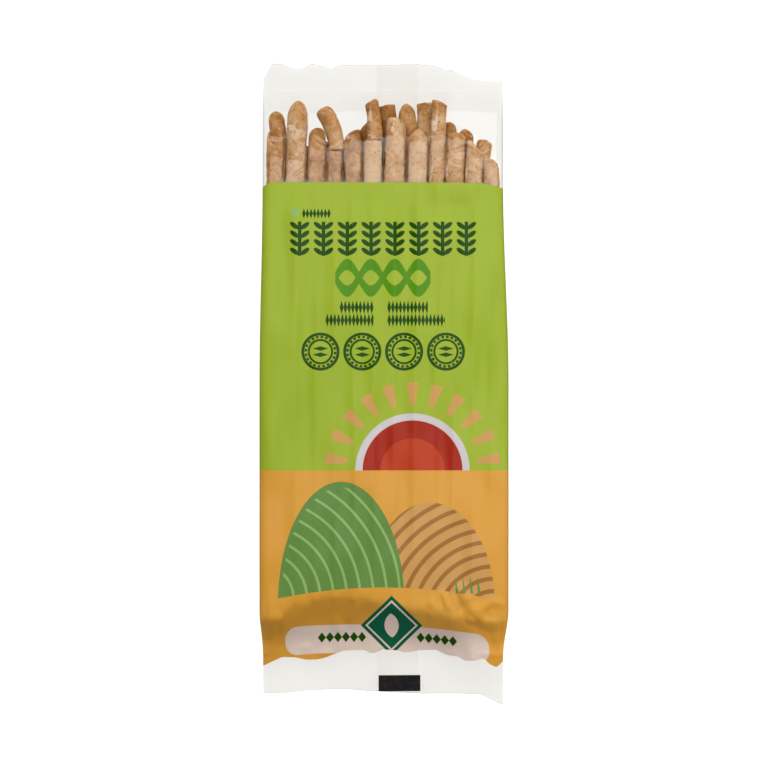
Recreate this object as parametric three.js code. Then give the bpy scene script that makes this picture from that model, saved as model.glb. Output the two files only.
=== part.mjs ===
// A sealed flow-wrap packet of breadsticks, lying on its back.
// Millimetres, +Z up, +Y towards the head of the packet, origin on the surface under its middle.
// One closed skin: the bag's outer form, with a flat seal at each end and the sticks standing
// through it as ridges whose uneven tips show at the head.

import * as THREE from 'three';
import { ParametricGeometry } from 'three/addons/geometries/ParametricGeometry.js';

// Driving dimensions of the bag
const PACK_LENGTH = 271.2;
const SEAL_WIDTH = 100.4;
const BODY_WIDTH = 105.0;
const BODY_HEIGHT = 17.0;
const SEAL_THICKNESS = 0.6;
const SEAL_HEIGHT = 5.0;

// The seals wave gently up and down across the packet, and the foot seal rises at the right
const SEAL_WAVE = 0.7;
const SEAL_WAVE_LENGTH = 40.0;
const FOOT_WAVE_SHIFT = 0.3;
const FOOT_SEAL_RISE = 7.0;
const FOOT_SEAL_RISES = 20.0;
const FOOT_SEAL_RISEN = 46.0;

// Where the flat seals begin, and how far their outer edges stray from square
const HEAD_SEAL = 124.0;
const FOOT_SEAL_LEFT = -108.0;
const FOOT_SEAL_RIGHT = -114.0;
const FOOT_SEAL_TURNS = 15.0;
const FOOT_SEAL_TURNED = 42.0;
const HEAD_CORNER_DROP = 5.0;
const HEAD_CORNER_WIDTH = 4.0;
const HEAD_RIGHT_DROP = 7.5;
const HEAD_DROP_BEGINS = 22.0;
const HEAD_DROP_ENDS = 42.0;
const FOOT_EDGE_RISE = 5.0;
const FOOT_CORNER_BEGINS = 38.0;
const EDGE_WAVE = 0.6;
const HEAD_EDGE_WAVE_LENGTH = 28.0;
const FOOT_EDGE_WAVE_LENGTH = 44.0;

// Where the body is at its fullest width
const BODY_NARROWS_AT_HEAD = 85.0;
const BODY_WIDEST = 0.0;
const BODY_WIDEST_FOOT = -95.0;
const BODY_NARROWS_AT_FOOT = -115.0;

// The sticks of the upper layer
const STICK_PITCH = 8.26;
const STICK_COUNT = 12;
const RIDGE_DEPTH = 0.7;
// Where the film leaves the top of each stick of the upper layer, from left to right
const STICK_TIPS = [106, 115, 106, 98, 104, 101, 109, 107, 115, 104, 100, 95];
const STICK_FEET = [-99, -93, -91, -90, -90.5, -92, -94, -95.5, -97, -101, -104, -105];
const TIP_ZONE = 94.0;
// The film rests on the top of each stick over this share of the pitch, and bridges the rest
const FILM_ON_STICK = 0.4;

// The back film lifts off the surface between these places and the seals
const BACK_LIFTS_AT_HEAD = 113.0;
const BACK_LIFTS_AT_FOOT = -96.0;

// Mesh steps
const STEPS_PER_PITCH = 4;
const STEPS_PER_SIDE = 5;
const RIDGE_STEPS = (STICK_COUNT - 1) * STEPS_PER_PITCH;
const STEPS_ACROSS = RIDGE_STEPS + 2 * STEPS_PER_SIDE;

const FIRST_STICK = -STICK_PITCH * (STICK_COUNT - 1) / 2;
const TURN = 2 * Math.PI;
const { smoothstep, lerp } = THREE.MathUtils;

const packColour = { color: 0x9fb63e, roughness: 0.35, metalness: 0.0 };

// Outer edge of the head seal: square but for a lost left corner and a low right side
function headEdge(x) {
  const corner = HEAD_CORNER_DROP * smoothstep(-x, SEAL_WIDTH / 2 - HEAD_CORNER_WIDTH, SEAL_WIDTH / 2);
  const right = HEAD_RIGHT_DROP * smoothstep(x, HEAD_DROP_BEGINS, HEAD_DROP_ENDS);
  const wave = EDGE_WAVE * (1 - Math.cos(x / HEAD_EDGE_WAVE_LENGTH * TURN));
  return PACK_LENGTH / 2 - corner - right - wave;
}

// Outer edge of the foot seal: drawn up in the middle and long at the right corner
function footEdge(x) {
  const rise = FOOT_EDGE_RISE * (1 - smoothstep(x, FOOT_CORNER_BEGINS, SEAL_WIDTH / 2));
  const wave = EDGE_WAVE * (1 - Math.cos((x - SEAL_WIDTH / 2) / FOOT_EDGE_WAVE_LENGTH * TURN));
  return -PACK_LENGTH / 2 + rise + wave;
}

// Half of the packet's width at a place along it
function halfWidth(y) {
  const towardsHead = 1 - smoothstep(y, BODY_WIDEST, BODY_NARROWS_AT_HEAD);
  const towardsFoot = smoothstep(y, BODY_NARROWS_AT_FOOT, BODY_WIDEST_FOOT);
  return (SEAL_WIDTH + (BODY_WIDTH - SEAL_WIDTH) * towardsHead * towardsFoot) / 2;
}

// Where the flat seal begins at the foot: further down at the packet's right
function footSeal(x) {
  return lerp(FOOT_SEAL_LEFT, FOOT_SEAL_RIGHT, smoothstep(x, FOOT_SEAL_TURNS, FOOT_SEAL_TURNED));
}

// End of the stick under a place across the packet, from a list with one end for each stick,
// with the film bridging from stick to stick
function endUnder(x, ends) {
  const place = THREE.MathUtils.clamp((x - FIRST_STICK) / STICK_PITCH, 0, STICK_COUNT - 1);
  const left = Math.min(Math.floor(place), STICK_COUNT - 2);
  const towardsRight = smoothstep(place - left, FILM_ON_STICK / 2, 1 - FILM_ON_STICK / 2);
  return lerp(ends[left], ends[left + 1], towardsRight);
}

// Height of the seals' middle plane, gently waved across, and risen at the foot's right
function sealHeight(x, y) {
  const shift = y > 0 ? 0 : FOOT_WAVE_SHIFT;
  const rise = y > 0 ? 0 : FOOT_SEAL_RISE * smoothstep(x, FOOT_SEAL_RISES, FOOT_SEAL_RISEN);
  return SEAL_HEIGHT + rise + SEAL_WAVE * Math.sin((x / SEAL_WAVE_LENGTH + shift) * TURN);
}

// Front film: over the ridges of the sticks, then down from their ends to the seals
function frontHeight(x, y) {
  const fromCrest = (x - FIRST_STICK) / STICK_PITCH;
  const ridge = BODY_HEIGHT - RIDGE_DEPTH * Math.sin(fromCrest * Math.PI) ** 2;
  const atHead = 1 - smoothstep(y, endUnder(x, STICK_TIPS), HEAD_SEAL);
  const atFoot = smoothstep(y, footSeal(x), endUnder(x, STICK_FEET));
  return lerp(sealHeight(x, y) + SEAL_THICKNESS / 2, ridge, atHead * atFoot);
}

// Back film: flat on the surface under the sticks, lifting to the seals
function backHeight(x, y) {
  const atHead = 1 - smoothstep(y, BACK_LIFTS_AT_HEAD, HEAD_SEAL);
  const atFoot = smoothstep(y, footSeal(x), BACK_LIFTS_AT_FOOT);
  return lerp(sealHeight(x, y) - SEAL_THICKNESS / 2, 0, atHead * atFoot);
}

// Stretches along the packet, from foot to head, each with its own number of rows.
// The first and the last bring front and back together in one line at the seal's edge.
const STRETCHES = [
  { rows: 1, place: (x) => footEdge(x) },
  { rows: 3, place: (x, t) => lerp(footEdge(x), footSeal(x), t) },
  { rows: 8, place: (x, t) => lerp(footSeal(x), endUnder(x, STICK_FEET), t) },
  { rows: 8, place: (x, t) => lerp(endUnder(x, STICK_FEET), TIP_ZONE, t) },
  { rows: 18, place: (x, t) => lerp(TIP_ZONE, HEAD_SEAL, t) },
  { rows: 3, place: (x, t) => lerp(HEAD_SEAL, headEdge(x), t) },
  { rows: 1, place: (x) => headEdge(x) },
];
const ROWS = STRETCHES.reduce((sum, stretch) => sum + stretch.rows, 0);

// Place along the packet at a row, for one place across it
function alongAt(row, x) {
  let first = 0;
  for (const stretch of STRETCHES) {
    if (row <= first + stretch.rows) {
      return stretch.place(x, (row - first) / stretch.rows);
    }
    first += stretch.rows;
  }
  return headEdge(x);
}

// A step across the packet as a place and a turn: the turn runs from 0 at the packet's side,
// where front and back film meet, to a quarter circle over the outermost stick
function acrossAt(step) {
  const fromSide = Math.min(step, STEPS_ACROSS - step);
  const turn = Math.min(fromSide / STEPS_PER_SIDE, 1) * TURN / 4;
  const pitches = (step - STEPS_PER_SIDE) / STEPS_PER_PITCH;
  const ridgeX = FIRST_STICK + THREE.MathUtils.clamp(pitches, 0, STICK_COUNT - 1) * STICK_PITCH;
  return { ridgeX, turn };
}

// The skin: u runs round the packet, over the front from left to right and back underneath,
// and v runs from the foot edge to the head edge
function packSkin(u, v, target) {
  const round = u * 2 * STEPS_ACROSS;
  const onFront = round <= STEPS_ACROSS;
  const { ridgeX, turn } = acrossAt(onFront ? round : 2 * STEPS_ACROSS - round);
  const row = v * ROWS;
  const widthRow = alongAt(row, ridgeX);
  const overhang = (halfWidth(widthRow) + FIRST_STICK) * Math.cos(turn);
  const x = ridgeX + Math.sign(ridgeX) * overhang;
  const y = alongAt(row, x);
  const front = frontHeight(ridgeX, y);
  const back = backHeight(ridgeX, y);
  const middle = (front + back) / 2;
  const closed = Math.min(row, ROWS - row, 1);
  const bulge = (front - back) / 2 * Math.sin(turn) * closed;
  target.set(x, y, onFront ? middle + bulge : middle - bulge);
}

const pack = new THREE.Mesh(
  new ParametricGeometry(packSkin, 2 * STEPS_ACROSS, ROWS),
  new THREE.MeshStandardMaterial(packColour),
);
pack.name = 'pack';

const model = new THREE.Group();
model.add(pack);

export default model;
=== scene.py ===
import math
from collections import namedtuple
from functools import partialmethod, reduce
from operator import or_

import bpy
import numpy as np
from bpy.props import FloatProperty, FloatVectorProperty, IntProperty, PointerProperty
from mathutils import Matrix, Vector


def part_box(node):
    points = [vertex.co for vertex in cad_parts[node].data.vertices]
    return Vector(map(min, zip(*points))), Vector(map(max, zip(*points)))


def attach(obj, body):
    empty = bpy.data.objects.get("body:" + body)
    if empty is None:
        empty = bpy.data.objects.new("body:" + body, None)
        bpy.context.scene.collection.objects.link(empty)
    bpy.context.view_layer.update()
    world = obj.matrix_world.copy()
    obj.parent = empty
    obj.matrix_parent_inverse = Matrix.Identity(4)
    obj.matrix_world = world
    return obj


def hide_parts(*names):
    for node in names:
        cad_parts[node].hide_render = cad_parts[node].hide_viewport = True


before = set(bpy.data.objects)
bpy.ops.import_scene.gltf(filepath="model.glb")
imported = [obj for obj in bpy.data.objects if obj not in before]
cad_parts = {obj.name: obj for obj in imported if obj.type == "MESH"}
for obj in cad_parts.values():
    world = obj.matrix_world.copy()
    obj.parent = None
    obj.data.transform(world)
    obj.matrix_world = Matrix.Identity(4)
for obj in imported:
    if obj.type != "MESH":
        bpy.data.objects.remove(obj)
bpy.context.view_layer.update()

bl_info = {
    "name": "Breadstick packet",
    "version": (1, 0, 0),
    "blender": (4, 5, 0),
    "location": "View3D > Sidebar > Packet",
    "description": "Makes a sealed film packet of grissini: its sticks, its bag and the print",
    "category": "Add Mesh",
}

# Lengths in this file are millimetres, in the frame of the CAD model: +X right, +Y towards the
# head of the packet, +Z up out of its printed front. Meshes are written in metres.
MM = 0.001
TURN = 2.0 * math.pi
_, PACK_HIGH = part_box("pack")

# ---- Sizes of the bag

# Where the flat seals begin and where their sheets lie. The foot seal begins further down at the
# packet's right, and rises there.
HEAD_SEAL = 124.0
FOOT_SEAL_LEFT = -108.0
FOOT_SEAL_RIGHT = -114.0
FOOT_SEAL_TURNS = (15.0, 42.0)
SEAL_HEIGHT = 5.0
SEAL_DROOP = 0.11
SEAL_WAVE = 0.7
SEAL_WAVE_LENGTH = 40.0
FOOT_WAVE_SHIFT = 0.3
FOOT_SEAL_RISE = 7.0
FOOT_SEAL_RISES = (20.0, 46.0)
SHEET_GAP = 0.12

# Half widths: at the seals, to the left and to the right, and of the fuller body
SEAL_LEFT = 51.2
SEAL_RIGHT = 50.2
BODY_HALF_WIDTH = 52.5
OUTER_CREST = 45.4
BODY_WIDENS_AT_FOOT = (-115.0, -95.0)
BODY_NARROWS_AT_HEAD = 85.0

# The back film under the sticks
BACK_HEIGHT = 0.32
BACK_LIFTS_AT_HEAD = 106.0
BACK_LIFT_BEND = 4.0
BACK_LIFTS_AT_FOOT = -96.0

# Outlines across the packet, as (x, y), and how far their points are rounded
HEAD_EDGE = [
    (-51.2, 129.0), (-47.2, 136.2), (-42.5, 135.2), (-38.5, 133.6), (-34.5, 133.4), (-30.5, 135.6),
    (-26.0, 134.6), (-22.5, 133.4), (-19.0, 135.0), (-10, 135.4), (3, 135.2), (15, 135.4), (23.7, 134.4),
    (26.2, 132.6), (28.4, 133.2), (33.0, 130.9), (38.4, 128.9), (44.7, 128.2), (50.4, 128.0),
]
FOOT_EDGE = [
    (-51.2, -130.9), (-41, -130.8), (-35, -130), (-18, -129.2), (-3.6, -130.1), (17, -131.3),
    (30, -130.8), (40.5, -130.9), (44.7, -132.8), (50.4, -135.5),
]
HEAD_PRINT = [
    (-51.2, 82.4), (-49.6, 84.0), (-47, 84.8), (-20, 84.8), (20, 84.6), (42, 84.2), (50.4, 82.2),
]
FOOT_PRINT = [
    (-51.2, -119.4), (-43.2, -115.5), (-37.2, -115.7), (-33, -116.7), (-28.3, -116.7), (-25.2, -116),
    (-21.6, -114.6), (-16.8, -112.8), (-8.4, -112.5), (-5.4, -114), (-3, -113.6), (-1.8, -112.2),
    (6.5, -112.8), (8.4, -113.6), (12, -113.4), (14, -112.7), (22, -112.5), (26.4, -114.6),
    (31.7, -115.2), (33.6, -116.7), (37.8, -116.7), (42.2, -115.6), (44.4, -118), (47.4, -119.6),
    (50.4, -116.5),
]
OUTLINE_ROUNDING = 0.8

# ---- The sticks

# Where each stick crosses the print's edge and where its tip is, how far up it reaches, its
# radius, the form and slant of its tip, how toasted it is, and where its foot is
Stick = namedtuple("Stick", "x tip_x reach radius end slant tone foot", defaults=(-94.0,))
UPPER_STICKS = [
    Stick(-46.0, -45.6, 107.8, 3.65, "round", 0.1, 0.58, -101.0),
    Stick(-37.3, -36.0, 119.5, 4.35, "dome", 0.0, 0.24, -95.0),
    Stick(-28.4, -28.2, 107.9, 3.80, "round", 0.1, 0.72, -93.0),
    Stick(-20.9, -20.8, 98.2, 3.40, "flat", 0.0, 0.68, -92.0),
    Stick(-13.3, -13.2, 105.2, 3.80, "blunt", 0.15, 0.72, -92.5),
    Stick(-4.9, -4.5, 102.6, 4.20, "flat", 0.05, 0.05, -94.0),
    Stick(4.4, 5.4, 112.1, 4.50, "blunt", -0.2, 0.28, -96.0),
    Stick(14.0, 14.6, 107.7, 4.45, "house", 0.0, 0.20, -97.5),
    Stick(22.0, 23.6, 118.8, 3.35, "flat", -0.3, 0.30, -99.0),
    Stick(29.8, 30.6, 105.9, 4.10, "blunt", -0.1, 0.26, -101.0),
    Stick(37.9, 38.4, 100.6, 3.75, "slant", -0.9, 0.06, -101.5),
    Stick(44.9, 45.0, 94.8, 3.05, "blunt", -0.35, 0.30, -102.0),
]
LOWER_STICKS = [
    Stick(-42.6, -46.0, 115.4, 3.70, "round", 0.0, 0.42),
    Stick(-33.6, -33.4, 101.0, 3.60, "round", 0.0, 0.70),
    Stick(-25.8, -25.2, 103.0, 3.55, "round", 0.0, 0.70),
    Stick(-18.2, -20.0, 103.8, 3.60, "blunt", 0.0, 0.92),
    Stick(-10.8, -13.2, 107.0, 3.55, "blunt", 0.3, 0.75),
    Stick(-3.3, -6.9, 110.8, 3.90, "blunt", 0.6, 0.90),
    Stick(3.5, 1.3, 118.0, 3.95, "flat", 0.0, 0.90),
    Stick(11.2, 9.3, 118.6, 4.1, "dome", 0.0, 0.55),
    Stick(18.4, 17.6, 118.9, 3.95, "flat", 0.0, 0.22),
    Stick(25.6, 28.0, 110.9, 3.70, "round", 0.0, 0.62),
    Stick(32.4, 35.3, 107.6, 3.60, "round", -0.3, 0.58),
    Stick(39.9, 43.0, 103.2, 3.70, "blunt", -0.1, 0.34),
    Stick(46.8, 46.8, 93.2, 2.40, "blunt", -0.5, 0.35),
]
# Two ends that have snapped off and lie above the sticks they came from: the places of their
# lower and upper ends, how far they bend to the right, and their radii
Snapped = namedtuple("Snapped", "low high bend low_radius high_radius slant tone")
SNAPPED_ENDS = [
    Snapped((-19.9, 98.4), (-26.0, 116.2), 1.5, 3.3, 3.8, -0.15, 0.45),
    Snapped((-3.8, 102.4), (-5.3, 119.5), 0.4, 3.4, 3.0, 0.25, 0.62),
]
SNAPPED_TOP = 16.2
# The shares of a snapped end's length over which it swells, breaks, slants and browns
SNAPPED_SWELLS = (0.1, 0.6)
SNAPPED_BREAKS = (0.38, 0.5)
SNAPPED_SLANTS = (0.7, 1.0)
SNAPPED_BROWNS = (0.4, 1.0)

STICK_TOP = 16.5
UPPER_RADIUS = 4.0
LOWER_RADIUS = 3.7
FLOOR_GAP = 1.3

# Beyond the fold across the head, the tips hang down a little
HEAD_FOLD = 105.6
TIPS_DROP = 0.14

# How much browner a stick's tip is baked than its shaft, and how many radii before the tip it
# begins to brown, to taper and to break up
TIP_BROWNING = 0.25
BROWNING_BEGINS = 2.6
TAPER = 0.06
TAPER_BEGINS = 3.0
BREAK_BEGINS = 1.6

# Steps along the sticks: fine where they show, coarse under the print, and closer towards both
# ends, there in radii from the end
SHOWN_FROM = 80.0
STEP_SHOWN = 0.42
STEP_HIDDEN = 5.0
FOOT_STEPS = np.array([0.02, 0.08, 0.2, 0.4, 0.7, 1.0])
TIP_STEPS = np.array([0.09, 0.05, 0.02, 0.006])
SNAPPED_STEPS = (0.05, 0.2)

# The stretch along which the shafts come to their places at the head, and how late the tips lean
INTO_PLACE = (-60.0, 65.0)
TIP_LEAN = 1.4
# Their slow wander, which ends before the tip, and the long and short swells of their radius
WANDER = 0.16
WANDER_LENGTH = 14.0
WANDER_ENDS = 20.0
SWAY_STEP = 7.3
LONG_SWELL = 0.022
LONG_SWELL_LENGTH = 8.0
SHORT_SWELL = 0.014
SHORT_SWELL_LENGTH = 3.9

# Forms of the tips: how far each rounding reaches, in radii, how square it is and how ragged
End = namedtuple("End", "length squareness ragged")
ENDS = {
    "round": End(1.1, 2.1, 0.35), "dome": End(1.5, 1.9, 0.3), "blunt": End(0.6, 2.6, 0.8),
    "flat": End(0.16, 3.0, 1.0), "house": End(1.1, 1.5, 0.4), "slant": End(0.45, 2.4, 0.7),
}
LEAST_END = 0.02

# Waves to a metre of the crust's swells, pits and broken ends, and how fine their detail is
SWELLS_PER_METRE = 95.0
PITS_PER_METRE = 380.0
BREAKS_PER_METRE = 420.0
SWELL_DETAIL = 1.0
PIT_DETAIL = 3.0
# The level of the crust's ripples that lies at a stick's radius: most of them lie deeper
RIPPLE_MIDDLE = 0.56

# ---- The film over the sticks

# Grid steps, rounds of relaxing, and how far the film stays off the crust
GRID_X = 0.35
GRID_Y = 0.5
BELOW_ALL = -50.0
RELAX_ROUNDS = 900
OVER_RELAX = 1.9
FILM_CLEARANCE = 0.42
LEAST_CLEARANCE = 0.3
# Where the clear film's draw takes over from the printed film's
DRAW_CHANGES = (78.0, 88.0)
# The stiff film bridges from tips beyond this place to the head fold,
BRIDGED_TIP = 99.0
# and, where it is printed, lies over the sticks' feet from a line through these places, one for
# each upper stick, up to where its own tension carries it
FEET_LINE = [-98.5, -92.5, -90.5, -89.5, -90.0, -91.5, -93.5, -95.0, -96.5, -98.5, -99.0, -99.5]
FEET_SHELF_TOP = 16.5
FEET_SHELF_ENDS = -72.0

# Narrow valleys where the clear film sinks between neighbouring upper sticks: their depth and
# half width, the stretch past the print's edge over which they deepen, and how far before the
# shorter stick's tip they fade out
VALLEY_DEPTH = 0.35
VALLEY_HALF_WIDTH = 1.25
VALLEY_DEEPENS = (84.0, 88.0)
VALLEY_FADES = (3.0, 7.0)

# How far the film's bends soften along the packet, how square its sides are, and how much room
# above the back its wrinkles need
BEND_SOFTNESS = 1.6
SIDE_ROUNDNESS = 0.5
WRINKLE_ROOM = (0.2, 3.0)
# How far the grid of the film's heights reaches into the seals, and how much of that is used
SEAL_MARGIN = 12.0
SOFT_MARGIN = 7.0

# Film mesh steps
SIDE_STEPS = 14
FRONT_STEPS = 240
ROWS_FOOT_SEAL = 24
ROWS_FOOT = 58
ROWS_BODY = 60
ROWS_HEAD = 110
ROWS_HEAD_SEAL = 18
BODY_STARTS = -76.0
# Every so many columns of the front, the back has one, but for these rows up from the foot,
# where it has them all
BACK_STEP = 10
FINE_BACK_ROWS = 34

# Material slots of the bag
CLEAR, FRONT_PRINT, BACK_PRINT, CLEAR_SEAM = range(4)

# Folds in the front film: from, to, height, half width and whether it is sharp. A fold is a
# straight ridge, or a valley where its height is negative, and fades out over a share of its
# length at each end.
Fold = namedtuple("Fold", "start end height width sharp", defaults=(True,))
FOLD_FADE = 0.3
FOLDS = [
    # Crumpled corner at the head's left
    Fold((-43.4, 105.8), (-42.4, 113.6), 0.46, 2.0),
    Fold((-38.6, 108.5), (-37.2, 114.5), 0.34, 1.6),
    Fold((-46.4, 96.4), (-41.6, 102.4), 0.56, 1.9),
    Fold((-43.6, 93.0), (-39.0, 98.6), 0.42, 1.5),
    Fold((-48.0, 101.4), (-40.0, 97.8), 0.75, 1.3),
    Fold((-43.6, 102.6), (-34.0, 93.8), -0.90, 1.3),
    Fold((-46.5, 97.0), (-36.5, 94.8), 0.75, 1.3),
    Fold((-41.0, 104.0), (-36.0, 98.5), 0.60, 1.1),
    Fold((-32.6, 101.8), (-25.6, 98.6), 0.45, 0.9),
    Fold((-38.5, 86.8), (-29.5, 94.2), 0.40, 0.9),
    # The edge of the haze over the fourth stick
    Fold((-33.0, 104.5), (-24.5, 99.0), 0.35, 1.0),
    Fold((-24.5, 99.0), (-16.0, 104.0), 0.30, 1.0),
    # The film swells where the print begins, at the right
    Fold((13.0, 82.5), (44.0, 82.5), 1.35, 10.5, False),
    # Crumpled head at the right
    Fold((27.0, 97.4), (36.5, 99.4), 0.35, 1.0),
    Fold((28.0, 94.0), (35.5, 92.2), 0.40, 0.9),
    Fold((36.5, 99.0), (41.8, 94.4), 0.55, 1.1),
    Fold((38.0, 91.0), (43.5, 88.6), 0.40, 0.9),
    Fold((40.6, 97.5), (43.4, 101.5), 0.50, 1.0),
    # Folds above the foot seal at the right: a long curved valley, then a short ridge
    Fold((30.5, -83.5), (37.0, -93.5), 0.85, 4.2, False),
    Fold((36.0, -92.0), (41.5, -100.0), 0.95, 4.2, False),
    Fold((39.5, -99.0), (48.0, -103.0), 0.80, 3.6, False),
    Fold((27.0, -86.0), (34.0, -98.0), -0.90, 3.8, False),
    Fold((32.5, -96.5), (42.0, -104.5), -0.90, 3.8, False),
    Fold((38.5, -96.0), (47.5, -90.0), 0.80, 3.0, False),
    Fold((45.5, -89.8), (51.5, -94.0), 0.70, 2.6, False),
    Fold((24.5, -86.0), (27.5, -96.0), 0.80, 2.4, False),
    Fold((46.8, -97.0), (47.6, -113.0), 0.90, 2.2, False),
    # Folds down the slope at the left
    Fold((-47.6, -84.0), (-47.2, -116.0), 0.90, 2.4, False),
    Fold((-44.0, -92.0), (-44.6, -112.0), -0.70, 2.2, False),
    Fold((-38.0, -102.0), (-31.0, -90.5), 0.60, 4.0, False),
    Fold((-21.5, -96.5), (-18.0, -108.0), 0.60, 3.4, False),
    Fold((-16.0, -101.0), (-9.5, -91.0), 0.70, 3.6, False),
    Fold((18.0, -90.0), (24.0, -96.5), 0.60, 3.0, False),
]
# Crumpled places: middle, half extents, height of the crumples and how much longer they run
Crumple = namedtuple("Crumple", "middle extent height stretch")
CRUMPLES = [
    Crumple((-41.0, 103.0), (11.0, 13.0), 0.90, 1.0),
    Crumple((36.0, 96.0), (10.0, 9.0), 0.50, 1.0),
    Crumple((0.0, 100.0), (60.0, 26.0), 0.10, 1.3),
    Crumple((0.0, -102.0), (70.0, 15.0), 0.55, 2.2),
    Crumple((46.0, -108.0), (9.0, 12.0), 0.90, 1.1),
]
# and where the sheets of the foot seal are creased together
SEAL_CRUMPLES = [
    Crumple((-30.0, -111.0), (19.0, 7.0), 1.20, 0.9),
    Crumple((2.0, -110.0), (18.0, 6.0), 0.80, 0.9),
    Crumple((37.0, -113.0), (15.0, 7.0), 1.30, 0.9),
]
# Directions in degrees and lengths of the waves whose sum makes the crumples, how far each is
# shifted from the one before, and the share of the extent where they begin to fade
CRUMPLE_WAVES = [(18.0, 7.3), (74.0, 5.3), (-38.0, 9.1), (-71.0, 6.2), (5.0, 11.7)]
CRUMPLE_SHIFT = 0.37
CRUMPLE_FADES = 0.55

# Long slack waves along the printed film: length across, height, start and length along; how
# far they wander, and where they begin and end
LongWave = namedtuple("LongWave", "across height start along")
LONG_WAVES = [
    LongWave(13.1, 0.16, 0.9, 83.0),
    LongWave(18.7, 0.22, 2.3, 131.0),
    LongWave(29.3, 0.34, 4.0, 57.0),
]
LONG_WAVES_WANDER = 1.6
LONG_WAVES_BEGIN = (-92.0, -70.0)
LONG_WAVES_END = (66.0, 82.0)

# The seam down the back
SEAM_X = 5.7
SEAM_WIDTH = 17.6
SEAM_TOP = 0.2
SEAM_BOTTOM = 0.06
SEAM_STEPS = 8
SEAM_ROWS = 150

# The black date panel on the foot seal
PANEL_LOW = (-2.3, -130.2)
PANEL_HIGH = (15.4, -123.3)
PANEL_GAP = 0.02
PANEL_THICKNESS = 0.05
PANEL_CELLS = (40, 16)

# ---- The print

# Where it changes from green to amber
FIELD_CHANGE_Y = -36.3

# Rows of small lozenges, where lines of words would stand, and those on the pale band
Row = namedtuple("Row", "y left right pitch half_height")
WORD_ROWS = [
    Row(32.2, -18.6, -4.4, 1.58, 2.5),
    Row(32.2, 1.4, 18.4, 1.58, 2.5),
    Row(26.8, -24.6, -4.4, 1.58, 2.5),
    Row(26.8, 1.4, 25.6, 1.58, 2.5),
    Row(71.6, -34.4, -22.4, 1.5, 1.9),
]
BAND_ROWS = [Row(-107.0, -28.0, -7.6, 3.4, 2.0), Row(-106.2, 13.8, 30.8, 3.4, 2.0)]
LOZENGE_WIDTH = 2.2
LOZENGE_SIZE = 1.12
DOT = (-37.2, 72.2)
DOT_RADIUS = 1.9

# The sun's middle and the radii of its ring, its face and its heart, then its rays
SUN = (12.0, FIELD_CHANGE_Y)
SUN_RING = 24.0
SUN_FACE = 21.0
SUN_HEART = 13.5
RAY_STEP = math.pi / 11.0
RAY_ROOT = 22.0
RAY_WIDTH = 0.17
RAYS = (27.5, 37.0)

# The hills: middle, how far they are squeezed, radius, radius that is lined, and the middle,
# pitch and half width of the rings that line them
Hill = namedtuple("Hill", "middle squeeze radius lined rings_from pitch half_line")
PLOUGHED_HILL = Hill((19.5, -92.0), 0.64, 27.0, 27.0, (46.0, -100.0), 5.2, 0.9)
GREEN_HILL = Hill((-18.0, -92.0), 0.52, 26.5, 25.2, (-52.0, -90.0), 5.6, 0.55)

# The near ground's middle and radius, and the box, pitch, lean and width of its stalks
GROUND = (0.0, -300.0)
GROUND_RADIUS = 214.5
STALKS_X = (28.0, 42.0)
STALKS_Y = (-88.0, -81.5)
STALK_PITCH = 3.1
STALK_LEAN = 0.12
STALK_TAPER = 0.06
STALK_TAPERS_FROM = 84.0
STALK_WIDTH = 0.32

# The pale band: its middle, half size and corners, and where and how gently it curves
BAND = (1.3, -107.7)
BAND_HALF_SIZE = (43.0, 6.1)
BAND_CORNER = 5.3
BAND_TURNS = 12.0
BAND_CURVE = 1.0 / 700.0

# The emblem on it: middle, size, the line inside its edge, and the two discs that its leaf lies in
EMBLEM = (3.2, -101.9)
EMBLEM_SIZE = 13.0
EMBLEM_LINE = (10.6, 0.5)
LEAF_DISCS = ((0.0, -102.1), (6.4, -101.7))
LEAF_RADIUS = 6.2

# ---- Studio

# Lights: place, the point they face, size, brightness, and whether the film mirrors them
Softbox = namedtuple("Softbox", "name place aim size radiance mirrored")
SOFTBOXES = [
    Softbox("mirrored_overhead", (0.06, 0.13, 1.4), (0.06, 0.13, 0.0), (0.98, 0.66), 2.1, True),
    Softbox("right", (0.38, -0.03, 0.40), (0.04, 0.0, 0.0), (0.36, 0.36), 3.25, False),
    Softbox("left", (-1.0, 0.1, 1.0), (0.0, 0.0, 0.0), (0.8, 0.8), 1.9, False),
    Softbox("head", (0.0, 1.6, 1.2), (0.0, 0.0, 0.0), (1.6, 1.0), 6.1, False),
    Softbox("glint_left", (-0.62, 0.56, 1.15), (0.0, 0.0, 0.0), (0.34, 0.34), 3.6, True),
    Softbox("glint_right", (1.2, 0.1, 0.62), (0.0, 0.0, 0.0), (0.34, 0.34), 3.0, True),
]
SENSOR_WIDTH = 36.0
SKY_STRENGTH = 0.3
WHITE = (1.0, 1.0, 1.0)
# The floor is a white light table, so that nothing darkens it
FLOOR_HALF = 3000.0
FLOOR_GLOW = 0.93
FLOOR_GREY = (0.24, 0.24, 0.24)
FLOOR_LIGHTER = (0.26, 0.26, 0.26)

# ---- Finishes

# Noises: waves to a metre, detail and, for the crust, roughness
MOTTLE = (150.0, 4.0, 0.6)
FINE_GRAIN = (700.0, 4.0, 0.6)
FLOUR = (260.0, 5.0, 0.7)
CLEAR_UNEVEN = (45.0, 2.0)
CLEAR_RIPPLE = (160.0, 1.0)
PRINT_UNEVEN = (70.0, 2.0)
PRINT_RIPPLE = (140.0, 2.0)
PRINT_CLOUDS = (16.0, 2.0)
INK_WEAR = (900.0, 3.0)
FLOOR_CLOUDS = (3.0,)
BRAN_PER_METRE = 560.0
FINE_PITS_PER_METRE = 950.0
# How much the mottling, the fine grain and the bumps bake the crust, and raise its relief
MOTTLE_BAKES = 2.2
GRAIN_BAKES = 1.6
BUMPS_BAKE = 0.25
MOTTLE_RAISES = 0.5
PITS_RAISE = 0.8
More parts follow.
